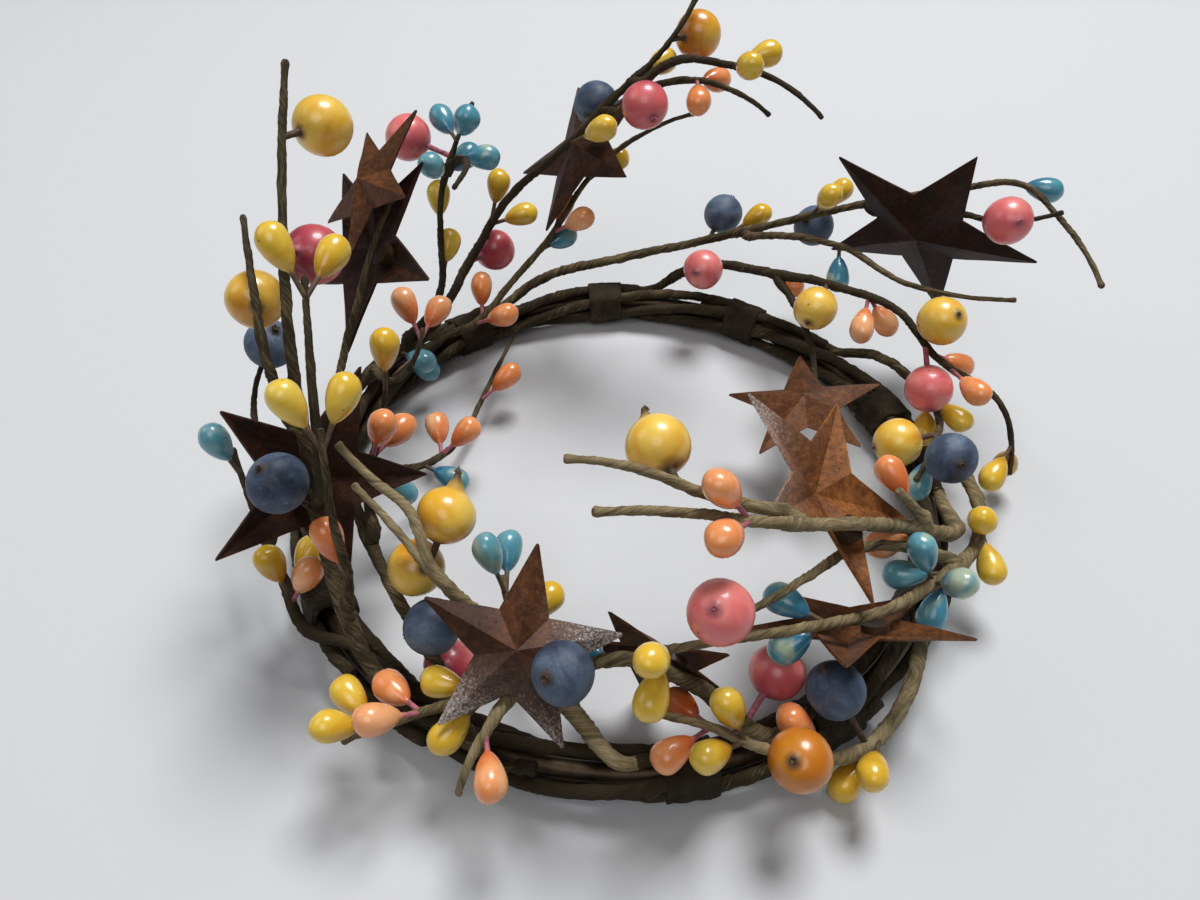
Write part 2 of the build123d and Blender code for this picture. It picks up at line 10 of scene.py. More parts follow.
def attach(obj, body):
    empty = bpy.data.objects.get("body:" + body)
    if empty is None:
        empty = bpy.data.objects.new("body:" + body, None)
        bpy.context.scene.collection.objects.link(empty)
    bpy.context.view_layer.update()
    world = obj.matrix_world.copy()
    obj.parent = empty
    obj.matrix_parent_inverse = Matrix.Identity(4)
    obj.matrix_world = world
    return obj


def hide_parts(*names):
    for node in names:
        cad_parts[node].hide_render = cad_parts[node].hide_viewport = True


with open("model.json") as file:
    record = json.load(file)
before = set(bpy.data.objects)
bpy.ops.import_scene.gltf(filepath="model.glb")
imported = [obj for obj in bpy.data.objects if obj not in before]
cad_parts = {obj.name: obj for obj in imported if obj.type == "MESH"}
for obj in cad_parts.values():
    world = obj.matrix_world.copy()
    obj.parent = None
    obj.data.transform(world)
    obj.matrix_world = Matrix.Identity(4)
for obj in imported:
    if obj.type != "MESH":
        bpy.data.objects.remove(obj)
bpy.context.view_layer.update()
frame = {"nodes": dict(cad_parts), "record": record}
print("frame loaded:", len(frame["nodes"]), "nodes")

mm = 0.001
up = Vector((0, 0, 1))


# camera at the photograph's angle
view = {"place": (-0.004, -0.1124, 0.130), "tiltDown": 46, "lens": 27, "sensor": 36, "clipStart": 0.005}


def addCamera():
    turn = (math.radians(90 - view["tiltDown"]), 0, 0)
    bpy.ops.object.camera_add(location=view["place"], rotation=turn)
    camera = bpy.context.object
    camera.data.lens = view["lens"]
    camera.data.sensor_width = view["sensor"]
    camera.data.clip_start = view["clipStart"]
    bpy.context.scene.camera = camera


# hand tools
def deselectAll():
    if bpy.context.mode != "OBJECT":
        bpy.ops.object.mode_set(mode="OBJECT")
    bpy.ops.object.select_all(action="DESELECT")


def pick(*pieces):
    deselectAll()
    for piece in pieces:
        piece.select_set(True)
    bpy.context.view_layer.objects.active = pieces[-1]


def editMode(piece):
    pick(piece)
    bpy.ops.object.mode_set(mode="EDIT")
    bpy.ops.mesh.select_mode(type="VERT")


def objectMode():
    bpy.ops.object.mode_set(mode="OBJECT")


def mergeAndTurnOut(piece, reach=1e-6):
    editMode(piece)
    bpy.ops.mesh.select_all(action="SELECT")
    bpy.ops.mesh.remove_doubles(threshold=reach)
    bpy.ops.mesh.normals_make_consistent(inside=False)
    objectMode()


def applyModifiers(piece):
    pick(piece)
    for modifier in list(piece.modifiers):
        bpy.ops.object.modifier_apply(modifier=modifier.name)


def smooth(piece, angle):
    pick(piece)
    bpy.ops.object.shade_smooth_by_angle(angle=math.radians(angle))


def joined(pieces, name):
    pick(*pieces)
    if len(pieces) > 1:
        bpy.ops.object.join()
    piece = bpy.context.object
    piece.name = piece.data.name = name
    return piece


def spots(piece):
    flat = np.zeros(len(piece.data.vertices) * 3)
    piece.data.vertices.foreach_get("co", flat)
    return flat.reshape(-1, 3)


def setSpots(piece, places):
    piece.data.vertices.foreach_set("co", np.asarray(places, float).ravel())
    piece.data.update()


def note(piece, name, values):
    values = np.asarray(values, np.float32)
    kind, field = ("FLOAT", "value") if values.ndim == 1 else ("FLOAT_VECTOR", "vector")
    layer = piece.data.attributes.get(name) or piece.data.attributes.new(name, kind, "POINT")
    layer.data.foreach_set(field, values.ravel())


def unit(vector):
    return vector / np.linalg.norm(vector)


def camel(node):
    first, *rest = node.split("_")
    return first + "".join(word.capitalize() for word in rest)


slotOf = {part["node"]: part["material_slot"] for part in frame["record"]["subparts"]}
bodyOf = {node: body for body, nodes in frame["record"]["behaviour"]["bodies"].items() for node in nodes}


def standFor(piece, node):
    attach(piece, bodyOf[node])
    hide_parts(node)


def putOn(mesh, node):
    mesh.materials.clear()
    mesh.materials.append(finishes[slotOf[node]])


def makeNode(pieces, node, angle):
    piece = joined(pieces, camel(node))
    smooth(piece, angle)
    putOn(piece.data, node)
    standFor(piece, node)


# finishes
class Flow:
    def __init__(self, finish, socket):
        self.finish = finish
        self.socket = socket

    def __add__(self, other):
        return self.finish.sums("ADD", self, other)

    def __radd__(self, other):
        return self.finish.sums("ADD", other, self)

    def __sub__(self, other):
        return self.finish.sums("SUBTRACT", self, other)

    def __rsub__(self, other):
        return self.finish.sums("SUBTRACT", other, self)

    def __mul__(self, other):
        return self.finish.sums("MULTIPLY", self, other)

    def __rmul__(self, other):
        return self.finish.sums("MULTIPLY", other, self)


class Finish:
    def __init__(self, name, **fixed):
        self.material = bpy.data.materials.new(name)
        self.material.use_nodes = True
        self.tree = self.material.node_tree
        self.shader = self.tree.nodes["Principled BSDF"]
        self.set(**fixed)
        self.place = self.node("ShaderNodeTexCoord", out="Object")

    def node(self, kind, settings=None, sockets=None, out=0):
        made = self.tree.nodes.new(kind)
        for key, value in (settings or {}).items():
            if key == "stops":
                for stop, (position, colour) in zip(self.rampStops(made, len(value)), value):
                    stop.position = position
                    stop.color = (*colour, 1)
            else:
                setattr(made, key, value)
        for key, value in (sockets or {}).items():
            self.feed(made.inputs[key], value)
        return Flow(self, made.outputs[out])

    def rampStops(self, made, count):
        stops = made.color_ramp.elements
        while len(stops) < count:
            stops.new(0.5)
        return stops

    def feed(self, socket, value):
        if isinstance(value, Flow):
            self.tree.links.new(value.socket, socket)
        elif isinstance(value, tuple) and len(value) == 3 and socket.type == "RGBA":
            socket.default_value = (*value, 1)
        else:
            socket.default_value = value

    def sums(self, operation, first, second):
        return self.node("ShaderNodeMath", {"operation": operation}, {0: first, 1: second})

    def clouds(self, scale, detail=3, rough=0.6, at=None, warp=0):
        sockets = {"Vector": at or self.place, "Scale": scale, "Detail": detail, "Roughness": rough,
                   "Distortion": warp}
        return self.node("ShaderNodeTexNoise", None, sockets)

    def cells(self, scale):
        return self.node("ShaderNodeTexVoronoi", None, {"Vector": self.place, "Scale": scale}, "Distance")

    def step(self, value, low, high):
        return self.node("ShaderNodeMapRange", {"interpolation_type": "SMOOTHSTEP"},
                         {"Value": value, "From Min": low, "From Max": high})

    def ramp(self, value, *stops):
        return self.node("ShaderNodeValToRGB", {"stops": stops}, {"Fac": value})

    def mix(self, share, first, second):
        return self.node("ShaderNodeMix", {"data_type": "RGBA"}, {0: share, 6: first, 7: second}, 2)

    def noted(self, name, out="Fac"):
        return self.node("ShaderNodeAttribute", {"attribute_name": name}, None, out)

    def bump(self, height, strength, depth):
        sockets = {"Height": height, "Strength": strength, "Distance": depth}
        self.feed(self.shader.inputs["Normal"], self.node("ShaderNodeBump", None, sockets))

    def set(self, **flows):
        for socket, value in flows.items():
            self.feed(self.shader.inputs[socket.replace("_", " ")], value)
        return self


def dimmed(colour, share):
    return tuple(part * share for part in colour)


def stalkPaper(finish, dark, pale):
    return finish.ramp(finish.clouds(900, 3), (0.3, dark), (0.7, pale))


def barkPaper(name, pale, middle, dark):
    bark = Finish(name, Specular_IOR_Level=0.25)
    crease = bark.noted("crease")
    age = bark.noted("age")
    fibre = bark.noted("fibre", "Vector")
    streak = bark.clouds(2.4, 4, 0.7, at=fibre)
    hair = bark.clouds(9, 3, 0.75, at=fibre)
    blotch = bark.clouds(130, 3, 0.6)
    # a higher age value darkens the paper: partly real ageing from stem to stem, partly painted shade on the
    # rear and left sprigs, the winding and the tapes
    light = streak * 0.5 + hair * 0.34 + blotch * 0.3 - age * 0.2 - 0.02
    tone = bark.ramp(light, (0.36, dark), (0.52, middle), (0.70, pale))
    # painted shade darkens the paper in the creases of its laps
    colour = bark.mix(crease * 0.7, tone, dimmed(dark, 0.4))
    bark.bump(streak + hair * 0.6 + bark.clouds(2200, 2, 0.6) * 0.3, 0.8, 0.00022)
    return bark.set(Base_Color=colour, Roughness=0.70 + hair * 0.25).material


def lacquer(name, body, shadeColour, pale, rough, stalk, patch=None):
    coat = Finish(name, Coat_Roughness=0.10, Coat_IOR=1.45)
    tone = coat.noted("tone")
    rise = coat.noted("rise")
    bark = coat.noted("bark")
    drift = coat.clouds(150, 3, 0.55, warp=0.6)
    # painted light: the pale, lit copy of the colour is a painted highlight in noisy blotches, a little more
    # towards the tip; the deep, shaded copy is painted shade towards the stalk; both are mixed with tone that
    # varies at random
    colour = coat.mix(coat.step(drift + tone * 0.2 - rise * 0.08, 0.30, 0.62), pale, body)
    colour = coat.mix(coat.step(drift * 0.7 + (1 - rise) * 0.42 + tone * 0.22, 0.58, 1.0), colour, shadeColour)
    if patch:
        # pale cream patches, placed by noise and tone and a little towards the bulge of the bead
        creamPatchMask = coat.step(coat.clouds(200, 2, 0.5, warp=0.4) + rise * 0.10 + tone * 0.26, 0.70, 0.92)
        colour = coat.mix(creamPatchMask * 0.7, colour, patch)
    specks = 1 - coat.step(coat.cells(430), 0.05, 0.10)
    specks = specks * coat.step(coat.clouds(330, 1, 0.5), 0.52, 0.60)
    colour = coat.mix(specks * 0.8, colour, dimmed(shadeColour, 0.25))
    colour = coat.mix(bark, colour, stalkPaper(coat, dimmed(stalk, 0.3), stalk))
    coat.bump(coat.clouds(420, 3, 0.5) * 0.5 + bark * coat.clouds(2400, 2) * 0.8, 0.30, 0.0002)
    gloss = rough + coat.clouds(300, 2) * 0.14 + bark * 0.4
    return coat.set(Base_Color=colour, Roughness=gloss, Coat_Weight=0.4 - bark * 0.4).material


def bloomNavy(name):
    skin = Finish(name, Specular_IOR_Level=0.4)
    tone = skin.noted("tone")
    rise = skin.noted("rise")
    bark = skin.noted("bark")
    drift = skin.clouds(150, 4, 0.6, warp=0.8)
    colour = skin.ramp(drift + tone * 0.12, (0.34, (0.014, 0.020, 0.038)), (0.55, (0.052, 0.076, 0.130)),
                       (0.78, (0.125, 0.175, 0.245)))
    dust = skin.step(skin.clouds(1500, 3, 0.7), 0.52, 0.72) * skin.step(drift + rise * 0.18, 0.52, 0.8)
    colour = skin.mix(dust * 0.5, colour, (0.23, 0.28, 0.34))
    specks = 1 - skin.step(skin.cells(520), 0.05, 0.11)
    colour = skin.mix(specks * 0.6, colour, (0.006, 0.008, 0.014))
    colour = skin.mix(bark, colour, stalkPaper(skin, (0.022, 0.014, 0.010), (0.085, 0.055, 0.035)))
    skin.bump(skin.clouds(900, 4, 0.6) + drift, 0.35, 0.0002)
    return skin.set(Base_Color=colour, Roughness=0.40 + drift * 0.3 + bark * 0.3).material


def rustedTin(name):
    tin = Finish(name, Specular_IOR_Level=0.25)
    rust = tin.noted("rust")
    frost = tin.noted("frost")
    cloud = tin.clouds(110, 5, 0.65, warp=0.4)
    grain = tin.clouds(1000, 4, 0.72)
    speckle = cloud * 0.5 + grain * 0.5
    chocolate = tin.ramp(speckle, (0.34, (0.007, 0.0026, 0.0019)), (0.50, (0.020, 0.0068, 0.0042)),
                         (0.66, (0.070, 0.021, 0.009)))
    orange = tin.ramp(speckle, (0.34, (0.045, 0.016, 0.006)), (0.48, (0.150, 0.052, 0.014)),
                      (0.60, (0.275, 0.098, 0.024)), (0.72, (0.40, 0.175, 0.050)))
    colour = tin.mix(rust, chocolate, orange)
    pits = 1 - tin.step(tin.cells(900), 0.04, 0.22)
    colour = tin.mix(pits * 0.55, colour, (0.010, 0.005, 0.003))
    # painted highlight: white specks of painted reflection everywhere, partly bare metal, and a painted white
    # sheen on the marked arms
    glintSpecks = tin.step(tin.clouds(2800, 4, 0.75) + cloud * 0.3 + frost * 0.22, 0.76, 1.0)
    glint = glintSpecks * (0.10 + frost * 0.7) + frost * grain * 0.22
    colour = tin.mix(glint, colour, (0.62, 0.57, 0.54))
    tin.bump(grain + cloud * 0.5 - pits * 0.4 + glintSpecks * 0.3, 0.5, 0.00025)
    gloss = 0.48 - glint * 0.15 + grain * 0.15
    return tin.set(Base_Color=colour, Roughness=gloss, Metallic=0.1 + glint * 0.5).material


def hotGlue(name):
    glue = Finish(name, Transmission_Weight=0.25)
    haze = glue.clouds(500, 3)
    colour = glue.mix(haze, (0.030, 0.016, 0.009), (0.075, 0.043, 0.024))
    return glue.set(Base_Color=colour, Roughness=0.2 + haze * 0.2).material


def drawnWire(name):
    wire = Finish(name, Metallic=0.9)
    stain = wire.clouds(160, 4, 0.6)
    colour = wire.ramp(stain, (0.35, (0.030, 0.018, 0.010)), (0.7, (0.12, 0.085, 0.055)))
    return wire.set(Base_Color=colour, Roughness=0.35 + stain * 0.3).material


# the stalk of a bead is bark, or dyed with the bead
woody = (0.12, 0.07, 0.033)
dyed = (0.50, 0.14, 0.19)
finishes = {
    "bark_paper": barkPaper("barkPaper", (0.45, 0.365, 0.210), (0.215, 0.163, 0.082), (0.036, 0.025, 0.012)),
    "binding_paper": barkPaper("bindingPaper", (0.30, 0.240, 0.135), (0.130, 0.098, 0.048),
                               (0.028, 0.019, 0.010)),
    "hoop_steel": drawnWire("drawnWire"),
    "rusted_tin": rustedTin("rustedTin"),
    "clear_glue": hotGlue("hotGlue"),
    # each lacquer: body colour, a shaded copy as painted shade, a lit copy as painted highlight, roughness,
    # stalk colour
    "mustard_lacquer": lacquer("mustardLacquer", (0.80, 0.43, 0.034), (0.52, 0.165, 0.010),
                               (0.86, 0.58, 0.100), 0.26, woody),
    "navy_bloom": bloomNavy("navyBloom"),
    "rose_lacquer": lacquer("roseLacquer", (0.70, 0.130, 0.140), (0.36, 0.036, 0.062),
                            (0.78, 0.23, 0.20), 0.32, dyed),
    "yellow_lacquer": lacquer("yellowLacquer", (0.74, 0.46, 0.032), (0.48, 0.230, 0.012),
                              (0.80, 0.57, 0.085), 0.20, woody),
    "peach_lacquer": lacquer("peachLacquer", (0.84, 0.29, 0.095), (0.60, 0.120, 0.028),
                             (0.88, 0.44, 0.21), 0.20, dyed),
    "teal_lacquer": lacquer("tealLacquer", (0.078, 0.275, 0.355), (0.022, 0.130, 0.24),
                            (0.15, 0.37, 0.43), 0.18, woody, (0.52, 0.58, 0.36)),
}
print("finishes ready:", len(finishes))


# paper-wrapped stems: a place is (bearing, out, up), degrees round the ring and mm from the hoop
# the winding's paper is coloured dark brown all round as painted shade
ring = {"radius": 56, "height": 4.7, "strands": 5, "layRadius": 3.0, "layTurns": 3, "leavePhase": 60,
        "strandGap": 14, "age": (1.2, 0.2, 1.9), "firstSeed": 50}
# radius at the root and at the tip
tube = {"stem": (1.34, 0.52), "twig": (0.98, 0.44), "wound": (1.04, 1.04), "handle": 0.36, "step": 0.5,
        "sides": 14}
# a stem is sunk into its strand; a twig starts beside its stem and runs on into it
rooting = {"start": 0.5, "sunk": 1.0, "stemRadius": 1.1, "twigRadius": 0.85, "gap": 0.35, "runOn": 2.6,
           "aside": 0.2}
wrap = {"pitch": 8.4, "drift": 1.3, "driftPace": 0.09, "lip": 0.13, "lapEdge": 0.85, "creaseWidth": 0.07,
        "tornPace": 0.9, "fibres": 0.20, "fibrePace": 0.12, "knobs": 0.15, "knobScale": 330,
        "knuckle": 0.26, "knuckleReach": 2.8, "knuckleBack": 1, "taper": 1.15, "tip": 0.14, "tipReach": 0.9,
        "firstShrink": 0.80, "lastShrink": 0.72, "offTable": 0.1}
# size, place and reach of the change in radius at a root
rootSwell = {"stem": (-0.34, 0, 5.0), "twig": (0.3, 2.0, 2.2), "wound": (0, 0, 1)}

# how brown the paper of a sprig is, darker on the rear and left sprigs as painted shade, and how thick its
# stems are
sprigAgeAndShade = {"left_base": 1.0, "left_sprig": 0.85, "rear_sprig": 1.0, "star_sprig": 0.9,
            "right_sprig": 0.9, "front_base": 0.2, "front_sprig": 0.05}
sprigGirth = {"left_base": 0.86, "left_sprig": 0.92, "rear_sprig": 0.84, "star_sprig": 0.82,
              "right_sprig": 0.84, "front_base": 1.0, "front_sprig": 1.02}
ageSwing = (0.25, 2.7)  # from one stem of a sprig to the next
# name: sprig, bearing where it leaves the ring, route
stems = {
    "tall": ("left_sprig", 238, [
        (228, 1, 7), (218, -1, 14), (209, -4, 30), (198, -7, 48), (184, -9, 62), (167, -8, 74)
    ]),
    "side": ("left_base", 222, [(214, 5, 4), (208, 5, 8), (200, 6, 14), (191, 8, 22)]),
    "rear_left": ("left_base", 254, [
        (246, 1, 6), (236, -5, 8), (222, -8, 11), (203, -9, 16), (188, -8, 21), (176, -9, 28),
        (169, -11, 35), (160, -12, 42), (152, -13, 48)
    ]),
    "rear": ("rear_sprig", 165, [
        (154, -1, 7), (141, -6, 11), (125, -3, 20), (115, -4, 32), (105, -9, 42), (91, -7, 52),
        (84, -5, 57), (77, 3, 66)
    ]),
    "star": ("star_sprig", 118, [
        (107, 3, 6), (90, 4, 9), (73, 6, 14), (60, 9, 20), (50, 12, 26), (34, 21, 36), (27, 27, 40),
        (21, 28, 38), (10, 27, 34)
    ]),
    "right": ("right_sprig", 85, [
        (74, 4, 8), (53, -1, 16), (35, -3, 22), (22, -1, 24), (13, 2, 20), (4, 12, 15), (1, 14, 10),
        (358, 14, 5)
    ]),
    "right_low": ("right_sprig", 40, [
        (30, 4, 6), (16, 3, 10), (4, 1, 13), (354, -3, 15), (346, -6, 14)
    ]),
    "front": ("front_sprig", 355, [
        (338, 1, 12), (327, -7, 20), (316, -10, 27), (303, -13, 32), (290, -13, 38), (279, -13, 42),
        (264, -10, 46)
    ]),
    "rope": ("front_base", 10, [
        (0, 5, 5), (352, 6, 7), (339, 5, 10), (323, 0, 14), (314, -2, 16), (300, -5, 20),
        (286, -6, 23), (271, -5, 24)
    ]),
    "low": ("front_base", 325, [
        (315, 5, 3), (306, 7, 2), (298, 7, 4), (289, 3, 7), (281, -2, 9), (273, -4, 10)
    ]),
    "crossing": ("front_base", 295, [
        (280, -7, 12), (271, -9, 16), (257, -6, 14), (249, -2, 13), (241, 4, 11), (233, 11, 5)
    ]),
    "inner_front": ("front_base", 271, [
        (263, -4, 6), (256, -9, 9), (246, -10, 16), (235, -9, 26), (228, -11, 32), (221, -10, 34),
        (214, -8, 38)
    ]),
}
# name: stem, mm along it, route
twigs = {
    "tall_front": ("tall", 38, [(216, -4, 34), (210, -8, 48), (198, -11, 56)]),
    "left_pair": ("tall", 20, [(222, -2, 20), (221, -3, 32), (217, -6, 44)]),
    "left_outer": ("tall", 50, [(198, -3, 44), (191, -3, 50), (179, -1, 56)]),
    "pair_twig": ("rear_left", 44, [(203, -12, 20), (196, -16, 26), (188, -18, 32)]),
    "inner": ("rear_left", 60, [
        (188, -16, 10), (175, -22, 4), (159, -23, 1), (136, -19, 2), (120, -11, 4)
    ]),
    "left_navy": ("side", 26, [(186, 6, 16), (177, 8, 20), (171, 8, 22)]),
    "rear_low": ("rear", 26, [
        (132, -10, 10), (118, -9, 16), (106, -7, 24), (96, -3, 34), (86, -3, 42), (75, 0, 46)
    ]),
    "rear_top": ("rear", 93, [(80, -7, 58), (68, -5, 58), (61, -6, 58), (46, -7, 54)]),
    "rear_cut": ("rear", 86, [(76, -4, 54), (69, -5, 54), (59, -4, 50)]),
    "blue_twig": ("rear", 22, [
        (136, -7, 20), (133, -5, 28), (130, -3, 36), (126, -3, 44), (119, 1, 50)
    ]),
    "blue_cut": ("blue_twig", 36, [(128, -11, 46), (138, -17, 46)]),
    "orange_twig": ("rear", 12, [(158, -14, 16), (153, -15, 22)]),
    "star_mid": ("star", 87, [(31, 18, 34), (25, 20, 36), (20, 27, 40)]),
    "star_low": ("star", 60, [(44, 5, 24), (26, 4, 26), (15, 17, 28)]),
    "right_inner": ("right", 38, [(36, -10, 13), (22, -16, 11), (8, -19, 11)]),
    "front_spur": ("front", 31, [(327, -9, 27)]),
    "front_tip": ("front", 62, [(282, -16, 42), (271, -17, 46), (258, -16, 48)]),
    "front_short": ("rope", 44, [(318, -10, 20), (302, -10, 24), (291, -8, 26), (281, -6, 28)]),
    "crossing_spur": ("crossing", 46, [(250, 6, 10), (249, 9, 4)]),
    "blue_spur": ("inner_front", 14, [(245, -16, 9), (238, -20, 13)]),
    "inner_twig": ("inner_front", 28, [(233, -10, 22), (225, -10, 26), (217, -8, 32)]),
}


def onRing(bearing, out, rise):
    angle = math.radians(bearing)
    reach = (ring["radius"] + out) * mm
    return Vector((reach * math.cos(angle), reach * math.sin(angle), (ring["height"] + rise) * mm))


def strandAt(strand, bearing):
    phase = math.radians(360 / ring["strands"] * strand + ring["layTurns"] * bearing)
    angle = math.radians(bearing)
    lay = ring["layRadius"]
    spot = onRing(bearing, lay * math.cos(phase), lay * math.sin(phase))
    outwards = Vector((math.cos(angle), math.sin(angle), 0))
    along = Vector((math.sin(angle), -math.cos(angle), 0)) * (ring["radius"] + lay * math.cos(phase))
    heading = along + (outwards * math.sin(phase) - up * math.cos(phase)) * (lay * ring["layTurns"])
    return spot, heading.normalized()


def leavingStrand(bearing):
    def miss(strand):
        phase = 360 / ring["strands"] * strand + ring["layTurns"] * bearing
        return abs((phase - ring["leavePhase"] + 180) % 360 - 180)
    return min(range(ring["strands"]), key=miss)


def headingsThrough(places, first=None):
    steps = [after - before for before, after in zip(places, places[1:])]
    inner = []
    for before, after in zip(steps, steps[1:]):
        share = after.length / before.length
        inner.append((before * share + after / share).normalized())
    if not inner:
        return [steps[0].normalized()] * 2

    def mirrored(heading, chord):
        across = chord.normalized()
        return (across * (2 * heading.dot(across)) - heading).normalized()
    return [first or mirrored(inner[0], steps[0])] + inner + [mirrored(inner[-1], steps[-1])]


class Line:
    def __init__(self, places, headings):
        self.places, self.headings = places, headings
        spans = [(after - before).length for before, after in zip(places, places[1:])]
        self.handles = [span * tube["handle"] for span in spans]
        self.steps = max(2, math.ceil(max(spans) / (tube["step"] * mm)))
        self.track = [places[0]]
        for number, handle in enumerate(self.handles):
            begin, end = places[number], places[number + 1]
            leave = begin + headings[number] * handle
            arrive = end - headings[number + 1] * handle
            self.track += interpolate_bezier(begin, leave, arrive, end, self.steps + 1)[1:]
        self.reach = [0.0]
        for before, after in zip(self.track, self.track[1:]):
            self.reach.append(self.reach[-1] + (after - before).length)

    def at(self, distance):
        number = int(np.clip(np.searchsorted(self.reach, distance) - 1, 0, len(self.track) - 2))
        before, after = self.track[number], self.track[number + 1]
        heading = (after - before).normalized()
        return before + heading * (distance - self.reach[number]), heading


def stemLines():
    lines = {}
    rooted = {}
    for name, (_, bearing, route) in stems.items():
        spot, heading = strandAt(leavingStrand(bearing), bearing)
        places = [spot + heading * rooting["start"] * mm] + [onRing(*place) for place in route]
        lines[name] = Line(places, headingsThrough(places, heading))
        sunk = spot - heading * rooting["sunk"] * mm
        rooted[name] = Line([sunk] + places, [heading] + lines[name].headings)
    for name, (stem, along, route) in twigs.items():
        thick = rooting["twigRadius" if stem in twigs else "stemRadius"]
        spot, heading = lines[stem].at(along * mm)
        away = (onRing(*route[0]) - spot).normalized()
        slant = heading.dot(away)
        way = math.copysign(1, slant)
        side = (away - heading * slant).normalized()
        root = spot + side * (thick + rooting["gap"] + rooting["twigRadius"] * abs(slant)) * mm
        places = [root] + [onRing(*place) for place in route]
        lines[name] = Line(places, headingsThrough(places))
        # the root runs on into its stem
        back = lines[stem].at((along - rooting["runOn"] * way) * mm)[0] + side * rooting["aside"] * mm
        rooted[name] = Line([back] + places, [heading * way] + lines[name].headings)
    return lines, rooted


def sweptTube(places, headings, handles, radius, sides, steps):
    bpy.ops.curve.primitive_bezier_curve_add()
    curve = bpy.context.object
    spline = curve.data.splines[0]
    spline.bezier_points.add(len(places) - 2)
    handles = [handles[0]] + handles + [handles[-1]]
    for number, knot in enumerate(spline.bezier_points):
        knot.handle_left_type = knot.handle_right_type = "FREE"
        place, heading = places[number], headings[number]
        knot.co = place
        knot.handle_left = place - heading * handles[number]
        knot.handle_right = place + heading * handles[number + 1]
        knot.radius = 1
    curve.data.dimensions = "3D"
    curve.data.twist_mode = "MINIMUM"
    curve.data.resolution_u = steps
    curve.data.bevel_depth = radius * mm
    curve.data.bevel_resolution = (sides - 4) // 2
    return curve


def ageOf(middle, swing, pace, number):
    return middle + swing * math.sin(number * pace)


def paperTube(line, kind, girth, seed, age, knuckles=()):
    curve = sweptTube(line.places, line.headings, line.handles, girth[0], tube["sides"], line.steps)
    curve.data.use_fill_caps = True
    bpy.ops.object.convert(target="MESH")
    piece = bpy.context.object
    wrapPaper(piece, girth, seed, rootSwell[kind], knuckles)
    note(piece, "age", np.full(len(piece.data.vertices), age))
    mergeAndTurnOut(piece)
    return piece


def radiusAt(along, far, girth, root, knuckles):
    def swell(size, middle, reach):
        return size * math.exp(-((along - middle) / reach) ** 2)
    radius = girth[0] + (girth[1] - girth[0]) * (along / far) ** wrap["taper"]
    radius += swell(wrap["tip"], far, wrap["tipReach"])
    radius += swell(*root)
    for spot in knuckles:
        radius += swell(wrap["knuckle"], spot, wrap["knuckleReach"])
    return radius


def wrapPaper(piece, girth, seed, root, knuckles):
    # a paper strip is twisted round the wire, so that its fibres and laps run slantwise
    places = spots(piece)
    sides = tube["sides"]
    body = places[2 * sides:].reshape(-1, sides, 3)  # the two caps come first
    middles = body.mean(1)
    steps = np.linalg.norm(np.diff(middles, axis=0), axis=1)
    along = np.concatenate([[0], np.cumsum(steps)]) / mm
    around = np.arange(sides) / sides
    edge = wrap["lapEdge"]
    crease = np.zeros(body.shape[:2])
    fibre = np.zeros(body.shape)
    for row, middle in enumerate(middles):
        radius = radiusAt(along[row], along[-1], girth, root, knuckles)
        drift = noise.noise(Vector((along[row] * wrap["driftPace"], seed * 3.7, 0.5))) * wrap["drift"]
        turn = along[row] / wrap["pitch"] + around + drift
        lap = turn % 1.0
        lip = np.where(lap < edge, lap / edge, (1 - lap) / (1 - edge)) - 0.5
        torn = 0.5 + 0.5 * math.sin(along[row] * wrap["tornPace"] + seed)
        # this mask marks the fold of each lap, where painted shade darkens the paper
        crease[row] = np.exp(-(np.minimum(lap, 1 - lap) / wrap["creaseWidth"]) ** 2) * torn
        fibre[row, :, 0] = np.cos(2 * math.pi * turn) + seed * 3.1
        fibre[row, :, 1] = np.sin(2 * math.pi * turn)
        fibre[row, :, 2] = along[row] * wrap["fibrePace"]
        for column in range(sides):
            twist = Vector(fibre[row, column])
            strands = noise.noise(twist * 2.1) + 0.6 * noise.noise(twist * 4.6)
            knob = noise.noise(Vector(body[row, column]) * wrap["knobScale"] + Vector((seed, 0, 0)))
            relief = wrap["lip"] * lip[column] + wrap["fibres"] * strands + wrap["knobs"] * knob
            out = unit(body[row, column] - middle)
            body[row, column] = middle + out * (radius + relief * min(1, radius)) * mm
    for row, shrink in ((0, wrap["firstShrink"]), (-1, wrap["lastShrink"])):
        body[row] = middles[row] + (body[row] - middles[row]) * shrink
    places[:sides] = body[-1]
    places[sides:2 * sides] = body[0]
    places[2 * sides:] = body.reshape(-1, 3)
    places[:, 2] = np.maximum(places[:, 2], wrap["offTable"] * mm)
    setSpots(piece, places)
    note(piece, "crease", np.concatenate([np.full(2 * sides, 0.5), crease.ravel()]))
    note(piece, "fibre", np.concatenate([fibre[-1], fibre[0], fibre.reshape(-1, 3)]))


def sprigOf(name):
    while name in twigs:
        name = twigs[name][0]
    return stems[name][0]


def dressStems(lines, rooted):
    bySprig = {}
    for seed, (name, line) in enumerate(rooted.items()):
        sprig = sprigOf(name)
        kind = "stem" if name in stems else "twig"
        lead = (line.reach[-1] - lines[name].reach[-1]) / mm - wrap["knuckleBack"]  # the sunk root
        knuckles = [along + lead for carrier, along, _ in twigs.values() if carrier == name]
        age = ageOf(sprigAgeAndShade[sprig], *ageSwing, seed)
        girth = [radius * sprigGirth[sprig] for radius in tube[kind]]
        bySprig.setdefault(sprig, []).append(paperTube(line, kind, girth, seed + 1, age, knuckles))
    for sprig, pieces in bySprig.items():
        makeNode(pieces, f"{sprig}_stems", 60)
    print("stems wrapped:", len(rooted))


